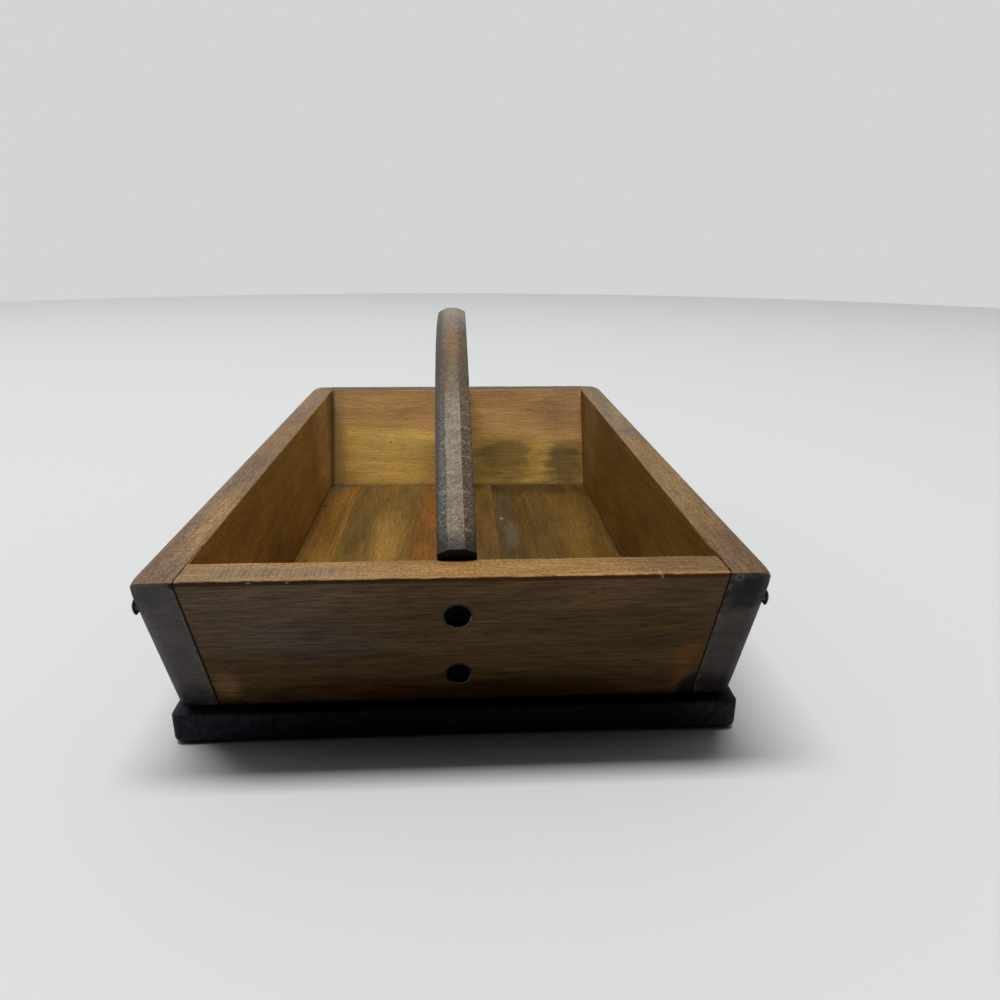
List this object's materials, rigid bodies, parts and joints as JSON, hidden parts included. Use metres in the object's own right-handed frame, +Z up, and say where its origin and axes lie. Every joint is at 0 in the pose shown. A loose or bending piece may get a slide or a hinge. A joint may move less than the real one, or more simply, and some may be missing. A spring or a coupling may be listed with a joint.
{
  "type": "tool tote",
  "caption": "Open wooden tool tray with upright sides, leaning ends, an overhanging base slab and one sawn arch handle that runs lengthwise.",
  "frame": {"origin": "middle of the base slab's underside", "axes": "+Z up, +Y along the tray and its handle, +X across it; the end that the picture shows is at -Y"},
  "size_m": [0.2376, 0.3672, 0.1614],
  "materials": {
    "board_wood": "worn oiled wood, satin on top and dull where it is dark with age",
    "base_wood": "worn varnished wood, satin",
    "handle_wood": "worn and greyed wood, satin from use",
    "screw_steel": "dark, aged and slightly rusty"
  },
  "bodies": {
    "root": {"base_board_left": "base_wood", "base_board_middle": "base_wood", "base_board_right": "base_wood", "side_board_left": "board_wood", "side_board_right": "board_wood", "end_board_front": "board_wood", "end_board_back": "board_wood", "carrying_handle": "handle_wood", "handle_screw_front_upper": "screw_steel", "handle_screw_front_lower": "screw_steel", "handle_screw_back_upper": "screw_steel", "handle_screw_back_lower": "screw_steel", "corner_screw_front_left": "screw_steel", "corner_screw_front_right": "screw_steel", "corner_screw_back_left": "screw_steel", "corner_screw_back_right": "screw_steel", "base_screw_left_front": "screw_steel", "base_screw_left_middle": "screw_steel", "base_screw_left_back": "screw_steel", "base_screw_right_front": "screw_steel", "base_screw_right_middle": "screw_steel", "base_screw_right_back": "screw_steel", "base_screw_front_inner": "screw_steel", "base_screw_front_outer": "screw_steel", "base_screw_back_inner": "screw_steel", "base_screw_back_outer": "screw_steel"}
  },
  "joints": []
}
